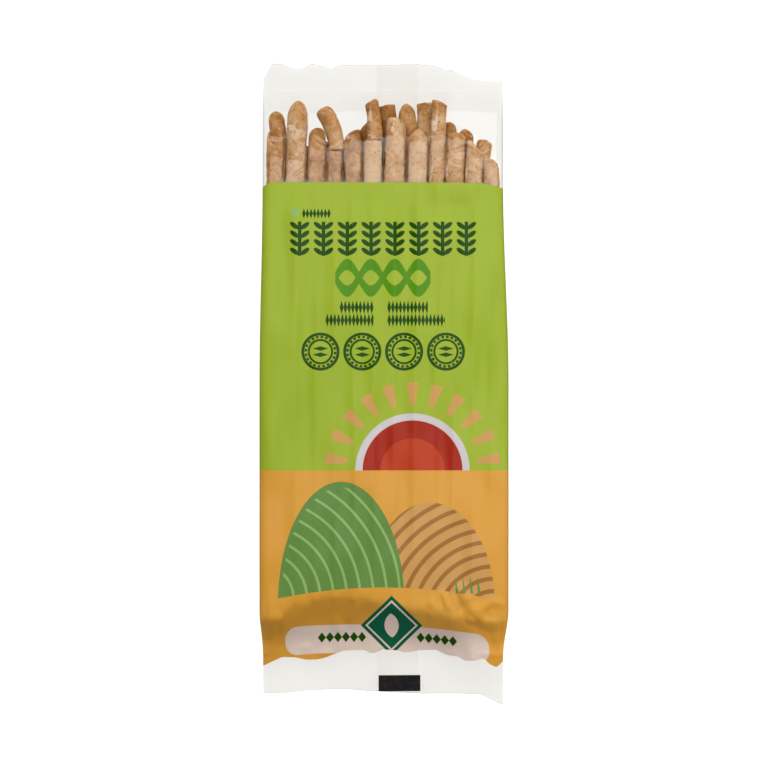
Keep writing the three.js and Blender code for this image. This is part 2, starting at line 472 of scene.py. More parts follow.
# Cells of the crust above this have a speck of bran
BRAN_CHOSEN = 0.72
# Easings: from and to these levels, with these values there
FLOUR_SHOWS = (0.55, 0.72, 0.0, 0.4)
BRAN_SHOWS = (0.15, 0.36, 0.6, 0.0)
# The fine grain's lowest places, the pits of the relief, get painted shade in the bran colour
PIT_SHADE_SHOWS = (0.3, 0.45, 0.35, 0.0)
CRUST_ROUGHNESS = (0.3, 0.7, 0.64, 0.82)
CLEAR_GLOSS_SHARE = (0.25, 0.75, 0.85, 1.15)
PRINT_ROUGHNESS = (0.3, 0.7, 0.2, 0.27)
CLOUDS_SHOW = (0.3, 0.7)
WEAR_SHOWS = (0.52, 0.72)
# Reliefs: strength, and depth in metres
CRUST_RELIEF = (0.6, 0.0005)
CLEAR_RELIEF = (0.25, 0.0002)
PRINT_RELIEF = (0.2, 0.0002)
# How much more light clear film sends back edge on, and how late it begins to
EDGE_GLOSS = 0.3
EDGE_GLOSS_BEND = 3.0
# The date panel's ink
INK = (0.003, 0.002, 0.002)
WORN_INK = (0.03, 0.027, 0.027)


# ---- Forms


def smoothstep(value, low, high):
    t = np.clip((value - low) / (high - low), 0.0, 1.0)
    return t * t * (3.0 - 2.0 * t)


def lerp(low, high, share):
    return low + (high - low) * share


def outline(points, x):
    """Height of an outline at x, softly rounded at its points."""
    xs, ys = np.array(points, float).T
    before, after = x - OUTLINE_ROUNDING, x + OUTLINE_ROUNDING
    return (np.interp(before, xs, ys) + 2.0 * np.interp(x, xs, ys) + np.interp(after, xs, ys)) / 4.0


def seal_half_width(x):
    """Half of the packet's width at its seals, on the side where x lies."""
    return np.where(x < 0.0, SEAL_LEFT, SEAL_RIGHT)


def half_width(x, y):
    """Half of the packet's width at a place along it, on the side where x lies."""
    fuller = 1.0 - smoothstep(y, 0.0, BODY_NARROWS_AT_HEAD)
    return lerp(seal_half_width(x), BODY_HALF_WIDTH, fuller * smoothstep(y, *BODY_WIDENS_AT_FOOT))


def foot_seal(x):
    """Where the flat seal begins at the foot."""
    return lerp(FOOT_SEAL_LEFT, FOOT_SEAL_RIGHT, smoothstep(x, *FOOT_SEAL_TURNS))


def seal_height(x, y):
    """Height of the middle of the seals' two sheets: gently waved, drooping outwards, creased at
    the foot, and risen at the foot's right."""
    at_foot = y < 0.0
    wave = SEAL_WAVE * np.sin((x / SEAL_WAVE_LENGTH + np.where(at_foot, FOOT_WAVE_SHIFT, 0.0)) * TURN)
    rise = np.where(at_foot, FOOT_SEAL_RISE * smoothstep(x, *FOOT_SEAL_RISES), 0.0)
    beyond = np.maximum(y - HEAD_SEAL, 0.0) + np.maximum(foot_seal(x) - y, 0.0)
    return SEAL_HEIGHT + rise + wave - SEAL_DROOP * beyond + crumple_height(x, y, SEAL_CRUMPLES)


def back_height(x, y):
    """Height of the back film: flat under the sticks, lifting to the seals."""
    towards_head = np.clip((y - BACK_LIFTS_AT_HEAD) / (HEAD_SEAL - BACK_LIFTS_AT_HEAD), 0.0, 1.0)
    rests = (1.0 - towards_head ** BACK_LIFT_BEND) * smoothstep(y, foot_seal(x), BACK_LIFTS_AT_FOOT)
    return lerp(seal_height(x, y) - SHEET_GAP / 2.0, BACK_HEIGHT, rests)


# ---- Sticks as lines with radii

# Centre points, radii, how far the cross-sections lean, how ragged they are, and how much browner
Line = namedtuple("Line", "points radii slants breaks browning")


def end_profile(distance, radius, end):
    """Share of the radius left at a distance before the stick's end."""
    length, squareness, _ = ENDS[end]
    t = np.clip(1.0 - distance / (length * radius), 0.0, 1.0)
    return np.maximum((1.0 - t ** squareness) ** (1.0 / squareness), LEAST_END)


def stick_line(stick, slot_x, plain_radius, top=None):
    """One stick from its foot to its tip. It hangs from a top height where one is given, and
    otherwise lies on the back film."""
    y = np.unique(np.concatenate([
        np.arange(stick.foot, SHOWN_FROM, STEP_HIDDEN),
        stick.foot + stick.radius * FOOT_STEPS,
        np.linspace(SHOWN_FROM, stick.reach, int((stick.reach - SHOWN_FROM) / STEP_SHOWN)),
        stick.reach - stick.radius * TIP_STEPS,
    ]))

    def towards_tip(radii):
        return smoothstep(y, stick.reach - radii * stick.radius, stick.reach)

    into_place = smoothstep(y, *INTO_PLACE)
    edge = outline(HEAD_PRINT, stick.x)
    leaning = np.clip((y - edge) / (stick.reach - edge), 0.0, 1.0) ** TIP_LEAN
    x = lerp(slot_x, stick.x, into_place) + (stick.tip_x - stick.x) * leaning
    sway = math.fmod(abs(stick.reach * SWAY_STEP + slot_x), TURN)
    x = x + WANDER * np.sin(y / WANDER_LENGTH + sway) * smoothstep(stick.reach - y, 0.0, WANDER_ENDS)
    swell = 1.0 + LONG_SWELL * np.sin(y / LONG_SWELL_LENGTH + 2.0 * sway)
    swell = swell + SHORT_SWELL * np.sin(y / SHORT_SWELL_LENGTH + sway)
    taper = 1.0 - TAPER * towards_tip(TAPER_BEGINS)
    radius = lerp(plain_radius, stick.radius, into_place) * swell * taper
    if top is None:
        z = BACK_HEIGHT + FLOOR_GAP + radius
    else:
        z = top - TIPS_DROP * np.maximum(y - HEAD_FOLD, 0.0) - radius
    from_foot = end_profile(y - stick.foot, stick.radius, "round")
    from_tip = end_profile(stick.reach - y, stick.radius, stick.end)
    at_tip = towards_tip(BREAK_BEGINS)
    return Line(np.stack([x, y, z], 1), radius * from_foot * from_tip, stick.slant * at_tip,
                ENDS[stick.end].ragged * at_tip, TIP_BROWNING * towards_tip(BROWNING_BEGINS))


def snapped_line(piece):
    """A snapped-off end, from its lower end to its upper one."""
    low, high = np.array(piece.low), np.array(piece.high)
    length = np.linalg.norm(high - low)
    near_low = np.array(SNAPPED_STEPS)
    steps = np.linspace(0.0, length, int(length / STEP_SHOWN))
    along = np.unique(np.concatenate([steps, near_low, length - near_low]))
    t = along / length
    x, y = lerp(low, high, t[:, None]).T
    plain = lerp(piece.low_radius, piece.high_radius, smoothstep(t, *SNAPPED_SWELLS))
    z = SNAPPED_TOP - plain - TIPS_DROP * (y - low[1])
    from_ends = end_profile(along, piece.low_radius, "flat")
    from_ends = from_ends * end_profile(length - along, piece.high_radius, "blunt")
    breaks = smoothstep(np.abs(t - 0.5), *SNAPPED_BREAKS)
    return Line(np.stack([x + piece.bend * np.sin(t * math.pi), y, z], 1), plain * from_ends,
                piece.slant * smoothstep(t, *SNAPPED_SLANTS), breaks,
                TIP_BROWNING * smoothstep(t, *SNAPPED_BROWNS))


def slots(sticks):
    """Places across the packet where the hidden feet of a layer lie, evenly spread."""
    return np.linspace(-OUTER_CREST, OUTER_CREST, len(sticks))


def layer(sticks, *radius_and_top):
    return [stick_line(stick, x, *radius_and_top) for stick, x in zip(sticks, slots(sticks))]


def upper_lines(sticks=UPPER_STICKS):
    return layer(sticks, UPPER_RADIUS, STICK_TOP)


def lower_lines():
    return layer(LOWER_STICKS, LOWER_RADIUS)


def snapped_lines():
    return [snapped_line(piece) for piece in SNAPPED_ENDS]


# ---- Film: a skin drawn tight over the sticks


def stick_tops(x, y, lines):
    """Highest point of the sticks over each place of a grid, or a low value between them."""
    tops = np.full(x.shape, BELOW_ALL)
    for line in lines:
        along = line.points[:, 1]
        aside = x - np.interp(y, along, line.points[:, 0])
        height = np.interp(y, along, line.points[:, 2])
        reach = np.interp(y, along, line.radii) + FILM_CLEARANCE
        inside = (np.abs(aside) < reach) & (y > along[0]) & (y < along[-1])
        rise = np.sqrt(np.maximum(reach ** 2 - aside ** 2, 0.0))
        tops = np.where(inside, np.maximum(tops, height + rise), tops)
    return tops


def film_supports():
    """Lines of all that holds the front film up. The stiff film bridges the upper sticks' tips
    as far as the head fold, as if they reached it."""
    bridged = [
        stick._replace(reach=HEAD_FOLD, end="flat") if BRIDGED_TIP < stick.reach < HEAD_FOLD else stick
        for stick in UPPER_STICKS
    ]
    return upper_lines(bridged) + lower_lines() + snapped_lines()


def feet_shelf(x, y):
    """Height at which the stiff print lies over the sticks' feet, or a low value elsewhere."""
    line = np.interp(x, slots(UPPER_STICKS), FEET_LINE)
    return np.where((y > line) & (y < FEET_SHELF_ENDS), FEET_SHELF_TOP, BELOW_ALL)


def relaxed_film(draw_print, draw_clear):
    """Heights of the front film on a grid: taut between the sticks and the seals, and drawn
    down between the sticks, more under the print than at the clear head. Also the least heights
    that keep it off the sticks."""
    xs = np.arange(-OUTER_CREST, OUTER_CREST + GRID_X, GRID_X)
    ys = np.arange(FOOT_SEAL_RIGHT - SEAL_MARGIN, HEAD_SEAL + SEAL_MARGIN, GRID_Y)
    x, y = np.meshgrid(xs, ys)
    sealed = (y > HEAD_SEAL) | (y < foot_seal(x))
    least = np.maximum(stick_tops(x, y, film_supports()), back_height(x, y) + SHEET_GAP)
    least = np.where(sealed, seal_height(x, y) + SHEET_GAP / 2.0, least)
    floor = np.where(sealed, least, np.maximum(least, feet_shelf(x, y)))
    film = np.where(sealed, floor, floor.max())
    drawn = lerp(draw_print, draw_clear, smoothstep(y, *DRAW_CHANGES))[1:-1]
    weight_x, weight_y = 1.0 / GRID_X ** 2, 1.0 / GRID_Y ** 2
    total = 2.0 * (weight_x + weight_y)
    parity = (np.arange(x.shape[0])[:, None] + np.arange(x.shape[1])[None, :])[1:-1] % 2
    turns = [(parity == colour) & ~sealed[1:-1] for colour in (0, 1)]
    for _ in range(RELAX_ROUNDS):
        for turn in turns:
            left = np.concatenate([film[1:-1, :1], film[1:-1, :-1]], 1)
            right = np.concatenate([film[1:-1, 1:], film[1:-1, -1:]], 1)
            mean = (weight_x * (left + right) + weight_y * (film[2:] + film[:-2]) - drawn) / total
            pulled = film[1:-1] + OVER_RELAX * (mean - film[1:-1])
            film[1:-1] = np.where(turn, np.maximum(pulled, floor[1:-1]), film[1:-1])
    least = np.where(sealed, least, least - FILM_CLEARANCE + LEAST_CLEARANCE)
    return xs, ys, np.maximum(softened_along(film), least), least


def softened_along(heights):
    """Heights of a grid with their bends along the packet softened."""
    reach = int(3.0 * BEND_SOFTNESS / GRID_Y)
    weights = np.exp(-0.5 * (np.arange(-reach, reach + 1) * GRID_Y / BEND_SOFTNESS) ** 2)
    weights /= weights.sum()
    padded = np.pad(heights, ((reach, reach), (0, 0)), mode="edge")
    return sum(weight * padded[n:n + len(heights)] for n, weight in enumerate(weights))


def grid_value(xs, ys, values, x, y):
    """Value of a grid between its points."""
    i = np.clip((x - xs[0]) / (xs[1] - xs[0]), 0.0, len(xs) - 1.001)
    j = np.clip((y - ys[0]) / (ys[1] - ys[0]), 0.0, len(ys) - 1.001)
    i0, j0 = i.astype(int), j.astype(int)
    u, v = i - i0, j - j0
    low, high = (values[row, i0] * (1.0 - u) + values[row, i0 + 1] * u for row in (j0, j0 + 1))
    return low * (1.0 - v) + high * v


def fold_height(x, y):
    """Sum of the folds, fading out at both ends."""
    total = np.zeros_like(x)
    for fold in FOLDS:
        start, end = np.array(fold.start), np.array(fold.end)
        length = np.linalg.norm(end - start)
        unit = (end - start) / length
        t = ((x - start[0]) * unit[0] + (y - start[1]) * unit[1]) / length
        aside = (x - start[0]) * unit[1] - (y - start[1]) * unit[0]
        fade = np.clip(np.minimum(t, 1.0 - t) / FOLD_FADE, 0.0, 1.0)
        near = np.clip(1.0 - np.abs(aside) / fold.width, 0.0, 1.0)
        total += fold.height * fade * (near if fold.sharp else smoothstep(near, 0.0, 1.0))
    return total


def stick_valleys(x, y):
    """The valleys in the clear film between neighbouring upper sticks."""
    total = np.zeros_like(x)
    lines = upper_lines()
    for left, right in zip(lines, lines[1:]):
        left_flank = np.interp(y, left.points[:, 1], left.points[:, 0] + left.radii)
        right_flank = np.interp(y, right.points[:, 1], right.points[:, 0] - right.radii)
        aside = np.abs(x - (left_flank + right_flank) / 2.0)
        before_tip = min(left.points[-1, 1], right.points[-1, 1]) - y
        depth = VALLEY_DEPTH * smoothstep(y, *VALLEY_DEEPENS) * smoothstep(before_tip, *VALLEY_FADES)
        total -= depth * (1.0 - smoothstep(aside, 0.0, VALLEY_HALF_WIDTH))
    return total


def long_waves(x, y):
    """Slack of the printed film between the seals, which wanders sideways along the packet."""
    total = np.zeros_like(x)
    for wave in LONG_WAVES:
        wander = LONG_WAVES_WANDER * np.sin(TURN * y / wave.along + wave.start)
        total += wave.height * (1.0 + np.sin(TURN * x / wave.across + wave.start + wander))
    return total * smoothstep(y, *LONG_WAVES_BEGIN) * (1.0 - smoothstep(y, *LONG_WAVES_END))


def crumple_height(x, y, crumples):
    """Sum of triangle waves in several directions, which makes flat facets with straight edges."""
    total = np.zeros(np.broadcast(x, y).shape)
    for place in crumples:
        across = (x - place.middle[0]) / place.extent[0]
        along = (y - place.middle[1]) / place.extent[1]
        inside = 1.0 - smoothstep(np.hypot(across, along), CRUMPLE_FADES, 1.0)
        waves = np.zeros_like(total)
        for number, (degrees, length) in enumerate(CRUMPLE_WAVES):
            turn = math.radians(degrees)
            phase = (x * math.cos(turn) + y * math.sin(turn)) / (length * place.stretch)
            phase = phase + CRUMPLE_SHIFT * number
            waves += 2.0 * np.abs(2.0 * (phase % 1.0) - 1.0) - 1.0
        total += inside * place.height * waves / len(CRUMPLE_WAVES) / 2.0
    return total


def film_rows(x):
    """Places along the packet for each row of the film, at the columns' x. The rows follow the
    outer edges and the print's edges, so these lines are edges of the mesh."""
    body, seal = np.full_like(x, BODY_STARTS), np.full_like(x, HEAD_SEAL)
    marks = [outline(FOOT_EDGE, x), outline(FOOT_PRINT, x), body, outline(HEAD_PRINT, x), seal,
             outline(HEAD_EDGE, x)]
    counts = [ROWS_FOOT_SEAL, ROWS_FOOT, ROWS_BODY, ROWS_HEAD, ROWS_HEAD_SEAL]
    rows = []
    for low, high, count in zip(marks, marks[1:], counts):
        rows += [low + (high - low) * step / count for step in range(count)]
    return np.array(rows + [marks[-1]])


def film_columns():
    """Crest places and turns of the columns across the packet. The turn runs from 0 at the
    packet's side to a quarter circle over the outermost sticks."""
    turn = np.linspace(0.0, math.pi / 2.0, SIDE_STEPS, endpoint=False)
    middle = np.linspace(-OUTER_CREST, OUTER_CREST, FRONT_STEPS + 1)
    crest = np.concatenate([np.full(SIDE_STEPS, -OUTER_CREST), middle, np.full(SIDE_STEPS, OUTER_CREST)])
    turns = np.concatenate([turn, np.full(FRONT_STEPS + 1, math.pi / 2.0), turn[::-1]])
    return crest, turns


def film_surfaces(draw_print, draw_clear):
    """Front and back film as grids of points, rows by columns."""
    crest, turns = film_columns()
    across = np.sign(crest) * np.cos(turns) ** SIDE_ROUNDNESS
    upward = np.sin(turns) ** SIDE_ROUNDNESS
    y = film_rows(crest + across * (seal_half_width(crest) - OUTER_CREST))
    x = crest + across * (half_width(crest, y) - OUTER_CREST)
    xs, ys, heights, least = relaxed_film(draw_print, draw_clear)
    over = np.broadcast_to(crest, y.shape)
    in_seal = (y > HEAD_SEAL + SOFT_MARGIN) | (y < foot_seal(x) - SOFT_MARGIN)
    sealed = seal_height(x, y) + SHEET_GAP / 2.0
    front, least = (
        np.where(in_seal, sealed, grid_value(xs, ys, grid, over, y)) for grid in (heights, least)
    )
    back = back_height(x, y)
    room = (front - back) * upward
    wrinkles = fold_height(x, y) + crumple_height(x, y, CRUMPLES) + long_waves(x, y)
    wrinkles = (wrinkles + stick_valleys(x, y)) * smoothstep(room, *WRINKLE_ROOM)
    front = np.maximum(np.maximum(front + wrinkles, least), back + SHEET_GAP)
    middle = (front + back) / 2.0
    front_z, back_z = lerp(middle, front, upward), lerp(middle, back, upward)
    for edge in (0, -1):
        front_z[edge] = back_z[edge] = (front_z[edge] + back_z[edge]) / 2.0
    return np.stack([x, y, front_z], 2), np.stack([x, y, back_z], 2)


# ---- Meshes


def new_object(name, data):
    """An object on the scene's collection."""
    thing = bpy.data.objects.new(name, data)
    bpy.context.scene.collection.objects.link(thing)
    return thing


def new_mesh_object(name, points, faces, materials=(), face_slots=None, edges=()):
    """A mesh object of points in millimetres, smooth shaded, on the scene's collection."""
    mesh = bpy.data.meshes.new(name)
    mesh.from_pydata((np.asarray(points) * MM).tolist(), list(edges), [list(map(int, f)) for f in faces])
    for material in materials:
        mesh.materials.append(material)
    if face_slots is not None:
        mesh.polygons.foreach_set("material_index", np.asarray(face_slots, dtype=np.int32))
    mesh.polygons.foreach_set("use_smooth", np.ones(len(mesh.polygons), dtype=bool))
    mesh.update()
    return new_object(name, mesh)


def grid_faces(rows, columns, offset=0, flip=False):
    """Quads of a grid of points, wound upwards, or downwards where flipped."""
    i, j = np.meshgrid(np.arange(rows - 1), np.arange(columns - 1), indexing="ij")
    a = offset + i * columns + j
    quads = np.stack([a, a + 1, a + columns + 1, a + columns], -1).reshape(-1, 4)
    return quads[:, ::-1] if flip else quads


def closed_slab(top, bottom):
    """Points and faces of a thin slab between two grids of points."""
    rows, columns = top.shape[:2]
    points = np.concatenate([top.reshape(-1, 3), bottom.reshape(-1, 3)])
    lower = rows * columns
    faces = grid_faces(rows, columns).tolist() + grid_faces(rows, columns, lower, flip=True).tolist()
    numbers = np.arange(lower).reshape(rows, columns)
    sides = [numbers[0], numbers[1:, -1], numbers[-1, -2::-1], numbers[-2:0:-1, 0]]
    rim = np.concatenate(sides).tolist()
    faces += [[a + lower, b + lower, b, a] for a, b in zip(rim, rim[1:] + rim[:1])]
    return points, faces


def back_columns(crest):
    """The front's columns that the back keeps: those of its sides, every tenth one between, and
    those nearest to the edges of the seam."""
    count = len(crest)
    edges = [int(np.abs(crest - SEAM_X - side * SEAM_WIDTH / 2.0).argmin()) for side in (-1, 1)]
    return [j for j in range(count) if j <= SIDE_STEPS or j >= count - 1 - SIDE_STEPS
            or (j - SIDE_STEPS) % BACK_STEP == 0 or j in edges]


def bag_faces(rows, crest):
    """Faces of the closed bag, the row that each lies in, and its place across the packet where
    it is on the back. The front has every column. The back has fewer past its creased foot, and
    shares the front's points round its rim."""
    columns = len(crest)
    kept = back_columns(crest)
    front_points = rows * columns

    def is_fine(i):
        return i <= FINE_BACK_ROWS or i == rows - 1

    def back(i, j):
        on_rim = i in (0, rows - 1) or j in (0, columns - 1)
        return i * columns + j + (0 if on_rim else front_points)

    faces = grid_faces(rows, columns).tolist()
    in_row = np.repeat(np.arange(rows - 1), columns - 1).tolist()
    across_back = [None] * len(faces)
    for i in range(rows - 1):
        cells = range(columns) if is_fine(i) and is_fine(i + 1) else kept
        for left, right in zip(cells, cells[1:]):
            low, high = (range(left, right + 1) if is_fine(row) else (left, right) for row in (i, i + 1))
            faces.append([back(i, j) for j in reversed(low)] + [back(i + 1, j) for j in high])
            in_row.append(i)
            across_back.append((crest[left] + crest[right]) / 2.0)
    return faces, in_row, across_back


def bag_slots(in_row, across_back):
    """The material slot of each of the bag's faces."""
    printed = range(ROWS_FOOT_SEAL, ROWS_FOOT_SEAL + ROWS_FOOT + ROWS_BODY)
    for row, across in zip(in_row, across_back):
        if row in printed:
            yield FRONT_PRINT if across is None else BACK_PRINT
        else:
            in_seam = across is not None and abs(across - SEAM_X) < SEAM_WIDTH / 2.0
            yield CLEAR_SEAM if in_seam else CLEAR


def only_used(points, faces):
    """The points that faces use, and the faces with those points' new numbers."""
    used = np.unique(np.concatenate([np.array(face) for face in faces]))
    new_number = np.zeros(len(points), dtype=int)
    new_number[used] = np.arange(len(used))
    return points[used], [new_number[face].tolist() for face in faces]


# ---- Nodes


def wire(tree, value, socket):
    """Links a socket or a field into a node's input, or sets the input's own value."""
    value = value.source if isinstance(value, Field) else value
    if isinstance(value, bpy.types.NodeSocket):
        tree.links.new(value, socket)
    elif socket.type == "RGBA":
        socket.default_value = (*value, 1.0)
    else:
        socket.default_value = value


def plug(tree, node, **inputs):
    """Wires a node's inputs, named by their socket names."""
    for name, value in inputs.items():
        wire(tree, value, node.inputs[name.replace("_", " ")])


def add_node(tree, kind, settings=None, *values, **inputs):
    """A new node with its settings, its first inputs in their order, and its named inputs."""
    node = tree.nodes.new(kind)
    for name, value in (settings or {}).items():
        setattr(node, name, value)
    for value, socket in zip(values, node.inputs):
        wire(tree, value, socket)
    plug(tree, node, **inputs)
    return node


def vector_math(tree, operation, *vectors, **inputs):
    node = add_node(tree, "ShaderNodeVectorMath", {"operation": operation}, *vectors, **inputs)
    return node.outputs[0]


class Field:
    """A number that nodes work out at every point of a surface."""

    def __init__(self, tree, source):
        self.tree = tree
        self.source = source

    def math(self, operation, *others):
        node = add_node(self.tree, "ShaderNodeMath", {"operation": operation}, self, *others)
        return Field(self.tree, node.outputs[0])

    __add__ = partialmethod(math, "ADD")
    __sub__ = partialmethod(math, "SUBTRACT")
    __mul__ = partialmethod(math, "MULTIPLY")
    __and__ = partialmethod(math, "MULTIPLY")
    __or__ = partialmethod(math, "MAXIMUM")
    __abs__ = partialmethod(math, "ABSOLUTE")
    below = partialmethod(math, "LESS_THAN")
    above = partialmethod(math, "GREATER_THAN")
    near = partialmethod(math, "COMPARE")
    remainder = partialmethod(math, "FLOORED_MODULO")

    def between(self, low, high):
        return self.near((low + high) / 2.0, (high - low) / 2.0)

    def eased(self, low, high, to_low=0.0, to_high=1.0):
        node = add_node(self.tree, "ShaderNodeMapRange", {"interpolation_type": "SMOOTHSTEP"},
                        self, low, high, to_low, to_high)
        return Field(self.tree, node.outputs["Result"])


def new_material(name):
    """A material with its tree and its Principled shader."""
    material = bpy.data.materials.new(name)
    material.use_nodes = True
    return material, material.node_tree, material.node_tree.nodes["Principled BSDF"]


def object_place(tree, scale=1.0):
    """The point's place in the object, as a vector, times a scale."""
    coordinates = tree.nodes.new("ShaderNodeTexCoord")
    return vector_math(tree, "SCALE", coordinates.outputs["Object"], Scale=scale)


def split_place(tree):
    """The point's place in millimetres, as the fields x, y and z."""
    node = add_node(tree, "ShaderNodeSeparateXYZ", None, object_place(tree, 1.0 / MM))
    return [Field(tree, node.outputs[axis]) for axis in "XYZ"]


def attribute(tree, name):
    """A number kept on the mesh, as a field."""
    return Field(tree, add_node(tree, "ShaderNodeAttribute", {"attribute_name": name}).outputs["Fac"])


def noise(tree, place, per_metre, detail=3.0, roughness=0.5):
    node = add_node(tree, "ShaderNodeTexNoise", Vector=place, Scale=per_metre, Detail=detail,
                    Roughness=roughness)
    return Field(tree, node.outputs["Fac"])


def bumped(tree, height, strength, distance):
    """Normals of a surface with a relief."""
    node = add_node(tree, "ShaderNodeBump", Height=height, Strength=strength, Distance=distance)
    return node.outputs[0]


def mixed(tree, mask, under, over):
    """One colour painted over another where the mask is 1."""
    node = add_node(tree, "ShaderNodeMix", {"data_type": "RGBA"}, mask)
    base, paint, result = node.inputs[6], node.inputs[7], node.outputs[2]
    wire(tree, under, base)
    wire(tree, over, paint)
    return result


def painted(tree, colour, layers):
    """A colour with layers painted over it in turn, each a mask and its colour."""
    for mask, paint in layers:
        colour = mixed(tree, mask, colour, paint)
    return colour


def graded(tree, factor, low, middle, high):
    """A colour that runs from a low one through a middle one to a high one."""
    node = add_node(tree, "ShaderNodeValToRGB", None, factor)
    stops = node.color_ramp.elements
    for stop, colour in zip((stops[0], stops.new(0.5), stops[-1]), (low, middle, high)):
        stop.color = (*colour, 1.0)
    return node.outputs[0]


# ---- Finishes


def bread_finish(colours):
    """Baked crust: mottled tan that browns on its bumps, with floury patches, bran specks and a
    finely pitted face, whose pits are darkened with painted shade in the bran colour."""
    material, tree, shader = new_material("bread_crust")
    place = object_place(tree)
    mottle = noise(tree, place, *MOTTLE)
    fine = noise(tree, place, *FINE_GRAIN)
    baked = attribute(tree, "tone") + (mottle - 0.5) * MOTTLE_BAKES + (fine - 0.5) * GRAIN_BAKES
    baked = baked + attribute(tree, "rise") * BUMPS_BAKE
    flour = noise(tree, place, *FLOUR).eased(*FLOUR_SHOWS)
    grain = add_node(tree, "ShaderNodeTexVoronoi", Vector=place, Scale=BRAN_PER_METRE, Randomness=1.0)
    pick = add_node(tree, "ShaderNodeSeparateColor", None, grain.outputs["Color"])
    chosen = Field(tree, pick.outputs[0]).above(BRAN_CHOSEN)
    specks = Field(tree, grain.outputs["Distance"]).eased(*BRAN_SHOWS) & chosen
    colour = graded(tree, baked, colours.bread_pale, colours.bread_tan, colours.bread_toasted)
    colour = painted(tree, colour, [
        (flour, colours.bread_flour),
        (specks, colours.bread_bran),
        # Painted shade: the bran colour darkens the pits, where the fine grain and so the relief are
        # lowest
        (fine.eased(*PIT_SHADE_SHOWS), colours.bread_bran),
    ])
    pits = add_node(tree, "ShaderNodeTexVoronoi", {"feature": "SMOOTH_F1"}, Vector=place,
                    Scale=FINE_PITS_PER_METRE)
    relief = mottle * MOTTLE_RAISES + fine + Field(tree, pits.outputs["Distance"]) * PITS_RAISE
    plug(tree, shader, Base_Color=colour, Roughness=fine.eased(*CRUST_ROUGHNESS),
         Specular_IOR_Level=0.25, Subsurface_Weight=0.55, Subsurface_Radius=(1.0, 0.45, 0.2),
         Subsurface_Scale=0.003, Normal=bumped(tree, relief, *CRUST_RELIEF))
    return material


def clear_finish(name, tint, gloss):
    """Clear film: see-through with a faint tint, and a glossy face that brightens edge on. Its
    gloss is a little uneven, and its face has the faintest ripple."""
    material, tree, shader = new_material(name)
    tree.nodes.remove(shader)
    place = object_place(tree)
    facing = Field(tree, add_node(tree, "ShaderNodeLayerWeight", Blend=0.5).outputs["Facing"])
    uneven = noise(tree, place, *CLEAR_UNEVEN).eased(*CLEAR_GLOSS_SHARE)
    sheen = facing.math("POWER", EDGE_GLOSS_BEND).math("MULTIPLY_ADD", EDGE_GLOSS, gloss) * uneven
    see_through = add_node(tree, "ShaderNodeBsdfTransparent", Color=tint)
    ripple = bumped(tree, noise(tree, place, *CLEAR_RIPPLE), *CLEAR_RELIEF)
    glossy = add_node(tree, "ShaderNodeBsdfGlossy", Roughness=0.08, Normal=ripple)
    mix = add_node(tree, "ShaderNodeMixShader", None, sheen, see_through.outputs[0], glossy.outputs[0])
    wire(tree, mix.outputs[0], tree.nodes["Material Output"].inputs["Surface"])
    return material


def print_finish(name, print_colour, colours):
    """Printed film in the colour that a function of x and y gives: glossy, a little uneven."""
    material, tree, shader = new_material(name)
    x, y, _ = split_place(tree)
    place = object_place(tree)
    rough = noise(tree, place, *PRINT_UNEVEN).eased(*PRINT_ROUGHNESS)
    ripple = bumped(tree, noise(tree, place, *PRINT_RIPPLE), *PRINT_RELIEF)
    plug(tree, shader, Base_Color=print_colour(tree, x, y, colours), Roughness=rough,
         Specular_IOR_Level=0.14, Normal=ripple)
    return material


def clouded(tree, plain, lighter):
    """A colour with soft lighter clouds."""
    clouds = noise(tree, object_place(tree), *PRINT_CLOUDS).eased(*CLOUDS_SHOW)
    return mixed(tree, clouds, plain, lighter)


def two_fields(tree, _, y, colours):
    """The print's two fields: green above, amber below, each a little uneven."""
    green = clouded(tree, colours.green, colours.green_light)
    amber = clouded(tree, colours.amber, colours.amber_light)
    return mixed(tree, y.below(FIELD_CHANGE_Y), green, amber)


def rounded_box(x, y, centre, half_size, radius):
    """1 inside a box with round corners."""
    across, along = (
        (abs(place - middle) - (half - radius)).math("MAXIMUM", 0.0)
        for place, middle, half in zip((x, y), centre, half_size)
    )
    return (across * across + along * along).below(radius * radius)


def distance_from(x, y, centre, squeeze=1.0):
    """Distance from a centre, with the height counted squeeze times."""
    across, along = x - centre[0], (y - centre[1]) * squeeze
    return (across * across + along * along).math("SQRT")


def lozenges(x, y, rows):
    """Rows of small upright lozenges."""
    masks = []
    for row in rows:
        across = abs((x - row.left).remainder(row.pitch) - row.pitch / 2.0)
        across = across * (LOZENGE_WIDTH / row.pitch)
        along = abs(y - row.y) * (1.0 / row.half_height)
        masks.append((across + along).below(LOZENGE_SIZE) & x.between(row.left, row.right))
    return reduce(or_, masks)


def sprigs(x, y):
    """A row of upright leaf sprigs, where a heading would stand."""
    pitch, half_height = 10.0, 7.2
    middle_y, left, right = 61.0, -40.4, 39.6
    leaf_pitch, leaf_y_middle, leaf_x_middle = 3.6, 1.9, 2.2
    slope, shrink = 0.75, 0.8
    thin, long = 1.05, 0.2
    stem_half_width = 0.75
    across = abs((x - left).remainder(pitch) - pitch / 2.0)
    along = y - (middle_y - half_height)
    leaf_x, leaf_y = across - leaf_x_middle, along.remainder(leaf_pitch) - leaf_y_middle
    lean = (leaf_y - leaf_x * slope) * shrink
    reach = (leaf_x + leaf_y * slope) * shrink
    leaves = (lean * lean * thin + reach * reach * long).below(1.0)
    box = x.between(left, right) & y.between(middle_y - half_height, middle_y + half_height)
    return (leaves | across.below(stem_half_width)) & box


def braid(x, y):
    """Two strands crossing, where a second line would stand."""
    left, right, middle_y, swing, wave, half_strand = -20.5, 19.5, 44.6, 5.6, 20.0, 2.4
    turn = ((x - left) * (TURN / wave)).math("SINE") * swing
    along = y - middle_y
    strands = (along - turn).near(0.0, half_strand) | (along + turn).near(0.0, half_strand)
    return strands & x.between(left, right)


